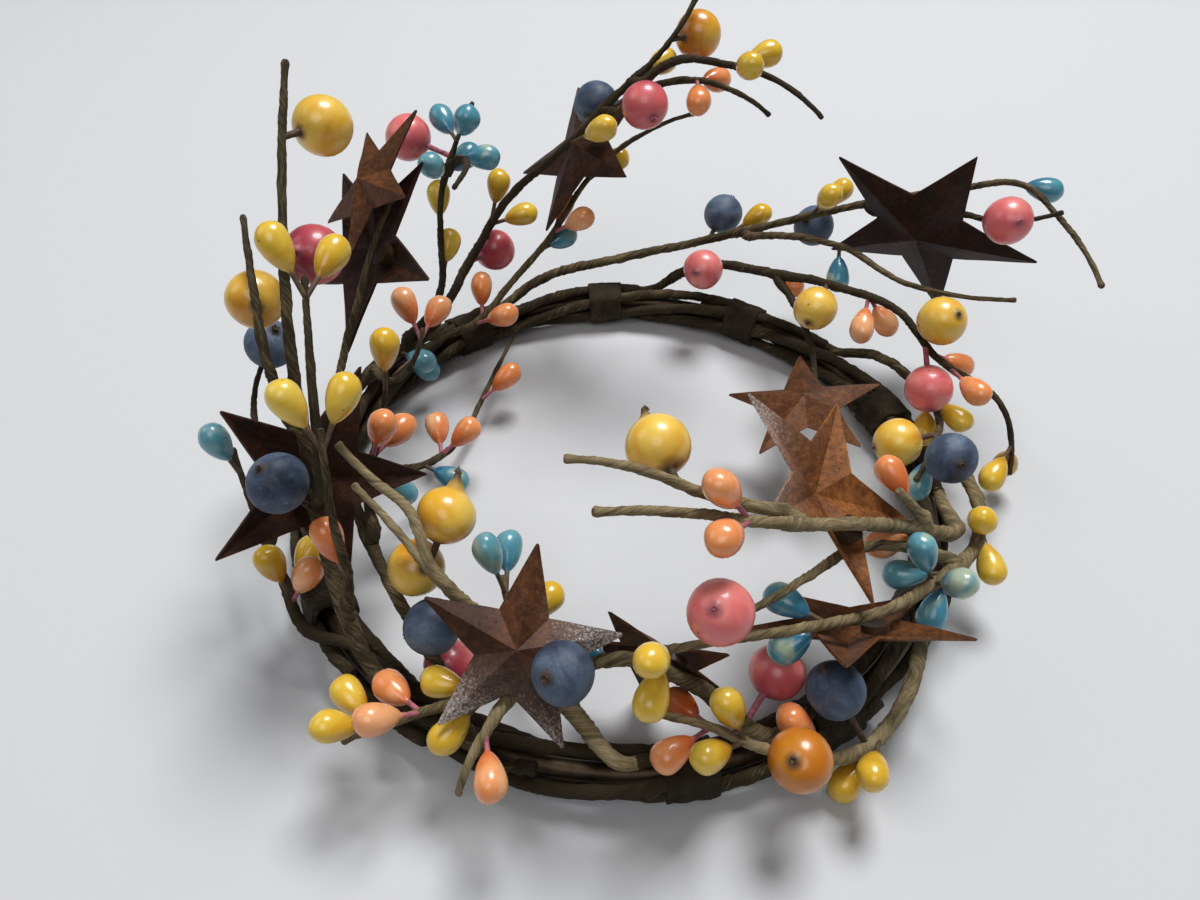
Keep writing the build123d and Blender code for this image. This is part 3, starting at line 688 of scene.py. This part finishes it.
def dressWinding():
    leaves = {strand: [] for strand in range(ring["strands"])}
    for _, bearing, _ in stems.values():
        leaves[leavingStrand(bearing)].append(bearing % 360)
    pieces = []
    for strand, bearings in leaves.items():
        ends = sorted(bearings) or [0]
        for end, following in zip(ends, ends[1:] + [ends[0] + 360]):
            start = following - ring["strandGap"]
            steps = max(1, round((start - end) * ring["layTurns"] / 90))
            stops = [strandAt(strand, start + (end - start) * step / steps) for step in range(steps + 1)]
            line = Line([spot for spot, _ in stops], [heading for _, heading in stops])
            number = len(pieces)
            age = ageOf(*ring["age"], number)
            pieces.append(paperTube(line, "wound", tube["wound"], ring["firstSeed"] + number, age))
    print("ring wound:", len(pieces), "stems")
    makeNode(pieces, "ring_winding", 60)


# crepe tape pulled tight over the strands of the ring
# the tapes' paper is coloured as dark as the winding, as painted shade
tape = {"bearings": (19, 60, 93, 126, 173, 208, 279, 303, 333), "width": 7.6, "outer": 4.68, "thick": 0.3,
        "hollow": 0.8, "turn": 3.4, "sway": 0.5, "groove": 0.16, "round": 0.55, "coarse": (300, 0.16),
        "fine": (1100, 0.12), "inset": 0.12, "steps": 18, "sides": 40, "endTuck": 0.80,
        "age": (1.15, 0.15, 2.3), "offTable": 0.02}


def dressTapes():
    pieces = []
    half = math.degrees(tape["width"] / ring["radius"]) / 2
    for seed, bearing in enumerate(tape["bearings"]):
        places = [onRing(bearing + half * share, 0, 0) for share in (-1, 0, 1)]
        handles = [(places[1] - places[0]).length / 3] * 2
        sweptTube(places, headingsThrough(places), handles, tape["outer"], tape["sides"], tape["steps"])
        bpy.ops.object.convert(target="MESH")
        piece = bpy.context.object
        crumpleTape(piece, seed)
        mergeAndTurnOut(piece)
        sheet = piece.modifiers.new("sheet", "SOLIDIFY")
        sheet.thickness = tape["thick"] * mm
        sheet.offset = -1
        applyModifiers(piece)
        pieces.append(piece)
    makeNode(pieces, "binding_tapes", 50)
    print("tapes bound:", len(tape["bearings"]))


def crumpleTape(piece, seed):
    sides = tape["sides"]
    body = spots(piece).reshape(-1, sides, 3)
    middles = body.mean(1)
    rows = len(middles)
    crease = np.zeros(body.shape[:2])
    fibre = np.zeros(body.shape)
    for row, middle in enumerate(middles):
        along = tape["width"] * row / (rows - 1)
        tuck = tape["endTuck"] if row in (0, rows - 1) else 1
        here = math.atan2(middle[1], middle[0])
        outwards = np.array([math.cos(here), math.sin(here), 0])
        for column in range(sides):
            out = unit(body[row, column] - middle)
            # it sinks between the strands
            phase = math.atan2(out[2], out @ outwards)
            valley = (1 - math.cos(ring["strands"] * (phase - ring["layTurns"] * here))) / 2
            sway = noise.noise(Vector((along * 0.3, column * 0.35, seed * 4.1))) * tape["sway"]
            turn = along / tape["turn"] + column / sides + seed * 0.37 + sway
            bulge = abs(math.sin(math.pi * turn)) ** tape["round"]
            angle = 2 * math.pi * (turn + 3 * column / sides)
            spot = Vector(body[row, column])
            rough = sum(noise.noise(spot * scale) * size for scale, size in (tape["coarse"], tape["fine"]))
            radius = tape["outer"] - tape["hollow"] * valley - tape["groove"] * (1 - bulge)
            radius += rough - tape["inset"]
            body[row, column] = middle + out * (radius * tuck) * mm
            # painted shade in the grooves between the turns of tape
            crease[row, column] = (1 - bulge) ** 2
            fibre[row, column] = (math.cos(angle) + seed, math.sin(angle), column / sides * 3)
    places = body.reshape(-1, 3)
    places[:, 2] = np.maximum(places[:, 2], tape["offTable"] * mm)
    setSpots(piece, places)
    note(piece, "crease", crease.ravel())
    note(piece, "fibre", fibre.reshape(-1, 3))
    note(piece, "age", np.full(len(places), ageOf(*tape["age"], seed)))


# where each bead or star of a node is, read from its solids
reading = {"weld": 2e-6, "rounds": 4, "capSlice": 0.12, "endReach": 1.0, "ballRounds": 12, "ballSlack": 0.15,
           "ballShare": 60, "rootSlice": 0.05}


def looseSolids(node):
    deselectAll()
    copy = frame["nodes"][node].copy()
    copy.data = copy.data.copy()
    bpy.context.scene.collection.objects.link(copy)
    editMode(copy)
    bpy.ops.mesh.select_all(action="SELECT")
    bpy.ops.mesh.remove_doubles(threshold=reading["weld"])
    bpy.ops.mesh.separate(type="LOOSE")
    objectMode()
    loose = list(bpy.context.selected_objects)
    clouds = [spots(piece) for piece in loose]
    for piece in loose:
        bpy.data.objects.remove(piece)
    return sorted(clouds, key=lambda cloud: tuple(np.round(cloud.mean(0), 4)))


def pipPose(cloud):
    # root and tip: the long axis of the solid, from its narrow end
    middle = (cloud.max(0) + cloud.min(0)) / 2
    axis = np.linalg.svd(cloud - cloud.mean(0), full_matrices=False)[2][0]
    cap = reading["capSlice"] * mm
    for _ in range(reading["rounds"]):
        height = (cloud - middle) @ axis
        low = cloud[height < height.min() + cap].mean(0)
        high = cloud[height > height.max() - cap].mean(0)
        axis = unit(high - low)

    def girth(end, way):
        near = cloud[(cloud - end) @ (axis * way) < reading["endReach"] * mm]
        return np.linalg.norm(np.cross(near - end, axis), axis=1).max()
    if girth(low, 1) > girth(high, -1):
        low, axis = high, -axis
    return low, axis


def berryPose(cloud, radius):
    # middle of the ball, the way from the root of its stalk to it, and the length of the stalk
    middle = np.median(cloud, 0)
    for _ in range(reading["ballRounds"]):
        miss = np.abs(np.linalg.norm(cloud - middle, axis=1) - radius)
        near = miss < max(reading["ballSlack"] * mm, np.percentile(miss, reading["ballShare"]))
        rows = np.c_[2 * cloud[near], np.ones(near.sum())]
        middle = np.linalg.lstsq(rows, (cloud[near] ** 2).sum(1), rcond=None)[0][:3]
    distance = np.linalg.norm(cloud - middle, axis=1)
    root = cloud[distance > distance.max() - reading["rootSlice"] * mm].mean(0)
    return middle, unit(middle - root), np.linalg.norm(middle - root) - radius


def turnTo(axis, roll):
    return np.array(up.rotation_difference(Vector(axis)).to_matrix() @ Matrix.Rotation(roll, 3, "Z"))


def spun(name, outline, steps):
    # a line of points is extruded from one point and spun about Z
    bpy.ops.mesh.primitive_plane_add(size=0.001)
    piece = bpy.context.object
    piece.name = name
    editMode(piece)
    bpy.ops.mesh.select_all(action="SELECT")
    bpy.ops.mesh.merge(type="CENTER")
    across, height = outline[0]
    bpy.ops.transform.translate(value=(across * mm, 0, height * mm))
    for before, after in zip(outline, outline[1:]):
        step = ((after[0] - before[0]) * mm, 0, (after[1] - before[1]) * mm)
        bpy.ops.mesh.extrude_region_move(TRANSFORM_OT_translate={"value": step})
    bpy.ops.mesh.select_all(action="SELECT")
    bpy.ops.mesh.spin(steps=steps, angle=2 * math.pi, center=(0, 0, 0), axis=(0, 0, 1))
    objectMode()
    mergeAndTurnOut(piece, 5e-6)
    return piece


pip = {"length": 7.9, "radius": 2.38, "neck": 0.42, "stalk": 1.0, "swell": 0.74, "barkFade": 0.4, "steps": 20,
       "lowRings": 8, "topRings": 6, "lump": 0.05, "lumpScale": 330}
berry = {"radius": 4.4, "stalk": 0.46, "flat": 0.985, "rings": 18, "steps": 28, "lump": 0.035,
         "lumpScale": 190}
calyx = {"radius": 0.62, "rise": 0.6, "sepals": 5, "lift": 0.16, "flare": 0.25, "least": 0.35, "range": 0.75}
# two berries have a horn, brown like their stalk, and one is drawn out at its foot
beak = {"reach": 1.6, "power": 1.2, "height": 3.4, "lean": 0.35, "barkFrom": 2.5, "barkReach": 0.72,
        "barkEnds": 0.8}
pear = {"slim": 0.26, "drop": 1.0}
berryForms = {("front_sprig_yellow_berries", 0): "beaked", ("front_base_yellow_berries", 1): "beaked",
              ("front_base_pink_berries", 0): "pear"}
berryShadeTones = {("front_base_yellow_berries", 2): 2.6}  # painted shade: this berry is coloured deep amber where it lies in shadow under the stems
stalkReach = 5  # mm from the foot of a bead in which its stem is looked for


def modelPip():
    # the stalk runs 1 mm below the root here and is drawn out to its stem for each pip
    radius, neck, stalk = pip["radius"], pip["neck"], pip["stalk"]
    belly = pip["length"] - radius
    outline = [(0, -1), (neck, -1), (neck * 0.9, 0.2), (neck, stalk * 0.75)]
    for number in range(pip["lowRings"] + 1):
        share = number / pip["lowRings"]
        swell = math.sin(math.pi / 2 * share) ** pip["swell"]
        outline.append((neck + (radius - neck) * swell, stalk + (belly - stalk) * share))
    for number in range(1, pip["topRings"] + 1):
        angle = math.pi / 2 * number / pip["topRings"]
        outline.append((radius * math.cos(angle), belly + radius * math.sin(angle)))
    piece = spun("pipShape", outline, pip["steps"])
    height = spots(piece)[:, 2] / mm
    note(piece, "bark", np.clip((stalk + 0.1 - height) / pip["barkFade"], 0, 1))
    note(piece, "rise", np.clip((height - stalk) / (pip["length"] - stalk), 0, 1))
    return piece


def modelBerry():
    radius, stalk = berry["radius"], berry["stalk"]
    # the stalk is 1 mm long here and is drawn out for each berry
    outline = [(0, -radius - 1), (stalk * 1.15, -radius - 1), (stalk, -radius - 0.5),
               (stalk * 1.2, -radius + 0.02)]
    for number in range(2, berry["rings"] - 1):
        angle = math.pi * number / berry["rings"]
        outline.append((radius * math.sin(angle), -radius * math.cos(angle) * berry["flat"]))
    top = radius * berry["flat"]
    wide, rise = calyx["radius"], calyx["rise"]
    outline += [(wide * 0.95, top * 0.975), (wide * 0.72, top + rise * 0.3), (wide * 0.92, top + rise * 0.8),
                (wide * 0.75, top + rise), (wide * 0.4, top + rise * 0.5), (0, top + rise * 0.35)]
    piece = spun("berryShape", outline, berry["steps"])
    places = spots(piece)
    height = places[:, 2] / mm
    reach = np.hypot(places[:, 0], places[:, 1]) / mm
    angle = np.arctan2(places[:, 1], places[:, 0])
    # dried points on the rim of the calyx
    rim = (height > top + rise * 0.6) & (reach > wide * 0.55)
    points = np.cos(calyx["sepals"] * angle[rim])
    places[rim, 2] += points * calyx["lift"] * mm
    places[rim, :2] *= (1 + calyx["flare"] * points)[:, None]
    setSpots(piece, places)
    crown = (height > top * 0.965) & (reach < wide * 1.2)
    note(piece, "bark", np.where((height < -radius + 0.08) | crown, 1.0, 0.0))
    note(piece, "rise", np.clip((height + radius) / (2 * radius), 0, 1))
    return piece


def beadCopy(shape, places, tone):
    copy = bpy.data.objects.new("bead", shape.data.copy())
    bpy.context.scene.collection.objects.link(copy)
    setSpots(copy, places)
    note(copy, "tone", np.full(len(places), tone))
    return copy


def lumps(places, size, scale, seed):
    out = places.copy()
    for number, place in enumerate(places):
        spot = Vector(place)
        lump = noise.noise(spot * scale + Vector((seed, seed * 0.7, 0)))
        out[number] = place * (1 + size * lump)
    return out


def depthToStem(root, axis, track):
    # how far the stalk runs back from its root to the middle of the stem
    off = track - root
    back = off @ -axis
    aside = np.linalg.norm(off + np.outer(back, axis), axis=1)
    aside[(back < 0) | (back > stalkReach * mm)] = math.inf
    return back[np.argmin(aside)]


def berryForm(places, form, crown):
    radius = berry["radius"] * mm
    reach = np.hypot(places[:, 0], places[:, 1])
    high = (places[:, 2] > 0.9 * radius) & (reach < 1.6 * calyx["radius"] * mm)
    top = radius * 0.97
    places[high, :2] *= crown
    places[high, 2] = top + (places[high, 2] - top) * crown
    if form == "beaked":
        lift = np.clip(1 - reach / (beak["reach"] * mm), 0, 1) ** beak["power"] * beak["height"] * mm
        places[:, 2] += np.where(places[:, 2] > 0, lift, 0)
        places[:, 0] += np.where(places[:, 2] > radius, (places[:, 2] - radius) * beak["lean"], 0)
    if form == "pear":
        low = (places[:, 2] < 0) & (reach > 1.02 * berry["stalk"] * mm) & (places[:, 2] > -radius)
        share = -places[low, 2] / radius
        places[low, :2] *= (1 - pear["slim"] * share ** 2)[:, None]
        places[low, 2] -= pear["drop"] * mm * share ** 3
    return places


def stringPip(shape, cloud, track, luck):
    root, axis = pipPose(cloud)
    widths = np.array([*luck["squash"][:2], 1])
    shaped = lumps(spots(shape), pip["lump"], pip["lumpScale"], luck["seed"]) * widths
    low = shaped[:, 2] < 0
    shaped[low, 2] *= depthToStem(root, axis, track) / mm
    return beadCopy(shape, shaped @ turnTo(axis, luck["roll"]).T + root, luck["tone"])


def stringBerry(shape, cloud, track, luck, which):
    radius = berry["radius"] * mm
    middle, axis, stalk = berryPose(cloud, radius)
    depth = stalk + depthToStem(middle - axis * (radius + stalk), axis, track)
    form = berryForms.get(which)
    crown = 1.0 if form == "beaked" else calyx["least"] + calyx["range"] * luck["tone"]
    model = spots(shape)
    shaped = berryForm(lumps(model, berry["lump"], berry["lumpScale"], luck["seed"]), form, crown)
    low = model[:, 2] < -radius
    shaped[low, 2] = -radius - (-radius - model[low, 2]) / mm * depth
    shaped[~low] *= luck["squash"]
    # a berry listed here gets a deep tone as painted shade
    tone = berryShadeTones.get(which, luck["tone"])
    copy = beadCopy(shape, shaped @ turnTo(axis, luck["roll"]).T + middle, tone)
    if form == "beaked":
        reach = np.hypot(model[:, 0], model[:, 1]) / mm
        horn = np.clip(beak["barkFrom"] - reach / beak["barkReach"], 0, 1)
        note(copy, "bark", np.where(np.abs(model[:, 2]) > beak["barkEnds"] * radius, horn, 0))
    return copy


def dressBeads(lines):
    chance = np.random.default_rng(11)
    pipShape, berryShape = modelPip(), modelBerry()
    tracks = {}
    for name, line in lines.items():
        tracks.setdefault(sprigOf(name), []).extend(tuple(spot) for spot in line.track)
    beads = 0
    for node in sorted(frame["nodes"]):
        if not node.endswith(("_pips", "_berries")):
            continue
        track = np.array(tracks[node.rsplit("_", 2)[0]])
        copies = []
        for number, cloud in enumerate(looseSolids(node)):
            luck = {"roll": chance.uniform(0, 6.28), "tone": chance.uniform(0, 1),
                    "seed": chance.uniform(0, 50), "squash": chance.uniform(0.94, 0.985, 3)}
            if node.endswith("_pips"):
                copies.append(stringPip(pipShape, cloud, track, luck))
            else:
                copies.append(stringBerry(berryShape, cloud, track, luck, (node, number)))
        beads += len(copies)
        makeNode(copies, node, 70)
    for shape in (pipShape, berryShape):
        bpy.data.objects.remove(shape)
    print("beads strung:", beads)


# embossed tin stars
star = {"points": 5, "notch": 0.40, "crown": 2.6, "sheet": 0.42, "solidSheet": 0.5, "blunt": 0.35, "cuts": 5,
        "dent": 0.22, "dentScale": 210, "flatTips": 1.3, "curl": 0.45, "curlPace": 1.3, "inset": 0.994,
        "bloomFrom": 0.1, "bloomFade": 0.55}
# how orange each star of a node is, from left to right, and the arms that get a painted white sheen, a
# painted reflection
starRust = {"left_sprig_stars": (0.05,), "left_base_stars": (0.05, 0.55), "rear_sprig_stars": (0.1,),
            "star_sprig_stars": (0.0,), "front_sprig_stars": (1.0,), "right_sprig_stars": (0.5,),
            "front_base_stars": (0.22, 0.3, 0.6)}
starPaintedSheen = {("front_sprig_stars", 0): [(-1, 0, 0.3)],
             ("front_base_stars", 0): [(-0.3, -1, 0), (1, -0.2, 0)]}


def selectOnly(piece, chosen):
    editMode(piece)
    bpy.ops.mesh.select_all(action="DESELECT")
    objectMode()
    for vertex, isChosen in zip(piece.data.vertices, chosen):
        vertex.select = bool(isChosen)
    bpy.ops.object.mode_set(mode="EDIT")


def modelStar(size, seed):
    far = size / 2 * mm
    bpy.ops.mesh.primitive_circle_add(vertices=2 * star["points"], radius=far, fill_type="TRIFAN")
    piece = bpy.context.object
    places = spots(piece)
    rim = np.hypot(places[:, 0], places[:, 1]) > 0.1 * mm
    turn = np.round(np.arctan2(places[:, 0], places[:, 1]) / (math.pi / star["points"])).astype(int)
    selectOnly(piece, rim & (turn % 2 == 1))
    bpy.ops.transform.resize(value=(star["notch"], star["notch"], 1), center_override=(0, 0, 0))
    selectOnly(piece, ~rim)
    bpy.ops.transform.translate(value=(0, 0, star["crown"] * mm))
    selectOnly(piece, rim & (turn % 2 == 0))
    bpy.ops.mesh.bevel(offset=star["blunt"] * mm, offset_type="OFFSET", segments=1, affect="VERTICES")
    bpy.ops.mesh.select_all(action="SELECT")
    bpy.ops.mesh.quads_convert_to_tris()
    bpy.ops.mesh.subdivide(number_cuts=star["cuts"])
    objectMode()
    places = spots(piece)
    for number, place in enumerate(places):
        spot = Vector(place)
        share = spot.length / far
        dent = noise.noise(spot * star["dentScale"] + Vector((seed * 5.1, 0, 0))) * star["dent"]
        around = math.atan2(place[1], place[0]) * star["curlPace"]
        curl = noise.noise(Vector((around, seed * 2.3, 0))) * star["curl"]
        places[number, 2] += (dent * min(1, star["flatTips"] - share) + curl * share ** 3) * mm
    setSpots(piece, places)
    sheet = piece.modifiers.new("sheet", "SOLIDIFY")
    sheet.thickness = star["sheet"] * mm
    sheet.offset = 1
    applyModifiers(piece)
    mergeAndTurnOut(piece)
    return piece


def starPose(cloud):
    # rim, crown and one point of the solid star
    middle = cloud.mean(0)
    reach = np.linalg.norm(cloud - middle, axis=1)
    crown = cloud[np.argsort(reach)[:2]].mean(0)
    tips = cloud[np.argsort(reach)[-2 * star["points"]:]]
    centre = tips.mean(0)
    facing = unit(crown - centre)
    size = 2 * np.linalg.norm(tips - centre, axis=1).mean() / mm
    tip = tips[np.argmax(tips[:, 0])] - centre
    tip = unit(tip - facing * (tip @ facing))
    # the rim of the sheet starts half its thickness under the middle of the points
    return centre - facing * star["solidSheet"] / 2 * mm, facing, tip, size


def dressStars():
    count = 0
    for node in sorted(frame["nodes"]):
        if not node.endswith("_stars"):
            continue
        copies = []
        for number, cloud in enumerate(looseSolids(node)):
            foot, facing, tip, size = starPose(cloud)
            piece = modelStar(size * star["inset"], count + 1)
            places = spots(piece)
            # one point of the model goes to the point that was found
            lead = places[np.argmax(np.hypot(places[:, 0], places[:, 1]))]
            lead = unit(np.array([lead[0], lead[1], 0]))
            axesFrom = np.array([lead, np.cross([0, 0, 1], lead), [0, 0, 1]])
            axesTo = np.array([tip, np.cross(facing, tip), facing])
            turned = (places @ axesFrom.T) @ axesTo
            setSpots(piece, turned + foot)
            note(piece, "rust", np.full(len(turned), starRust[node][number]))
            # painted sheen: a painted reflection along the marked arms
            sheenMask = np.zeros(len(turned))
            for way in starPaintedSheen.get((node, number), []):
                along = turned @ unit(np.array(way)) / (size / 2 * mm)
                sheenMask = np.maximum(sheenMask, np.clip((along - star["bloomFrom"]) / star["bloomFade"], 0, 1))
            note(piece, "frost", sheenMask)
            copies.append(piece)
            count += 1
        makeNode(copies, node, 22)
    print("stars pressed:", count)


def finishKeptNodes():
    for node in frame["nodes"]:
        if node.endswith("_glue") or node == "hoop_wire":
            putOn(frame["nodes"][node].data, node)
    print("glue and hoop finished")


# table and light
stage = {"size": 3.0, "colour": (0.59, 0.60, 0.615), "fleck": 0.985, "rough": 0.75}
lamps = {
    "overBack": {"place": (0.20, 0.42, 1.00), "aim": (0, 0.02, 0.02), "size": 0.46, "power": 12.4},
    "left": {"place": (-0.62, 0.10, 0.50), "aim": (0, 0, 0.02), "size": 0.45, "power": 0.7},
    "frontFill": {"place": (-0.10, -0.52, 0.80), "aim": (0, 0, 0.04), "size": 0.60, "power": 2.2},
}
sky = {"colour": (0.92, 0.95, 1.0), "strength": 0.07}


def lightTable():
    bpy.ops.mesh.primitive_plane_add(size=stage["size"], location=(0, 0, 0))
    table = bpy.context.object
    table.name = "table"
    cloth = Finish("paleTable", Roughness=stage["rough"], Specular_IOR_Level=0.2)
    colour = cloth.mix(cloth.clouds(700, 2), dimmed(stage["colour"], stage["fleck"]), stage["colour"])
    cloth.set(Base_Color=colour)
    table.data.materials.append(cloth.material)
    for name, lamp in lamps.items():
        place = Vector(lamp["place"])
        aim = (Vector(lamp["aim"]) - place).to_track_quat("-Z", "Y").to_euler()
        bpy.ops.object.light_add(type="AREA", location=place, rotation=aim)
        light = bpy.context.object
        light.name = name
        light.data.shape = "DISK"
        light.data.size = lamp["size"]
        light.data.energy = lamp["power"]
    world = bpy.data.worlds.new("studio")
    world.use_nodes = True
    background = world.node_tree.nodes["Background"]
    background.inputs["Color"].default_value = (*sky["colour"], 1)
    background.inputs["Strength"].default_value = sky["strength"]
    bpy.context.scene.world = world
    bpy.context.scene.view_settings.view_transform = "Standard"
    print("table and lamps set")


addCamera()
lines, rooted = stemLines()
dressStems(lines, rooted)
dressWinding()
dressTapes()
dressBeads(lines)
dressStars()
finishKeptNodes()
lightTable()
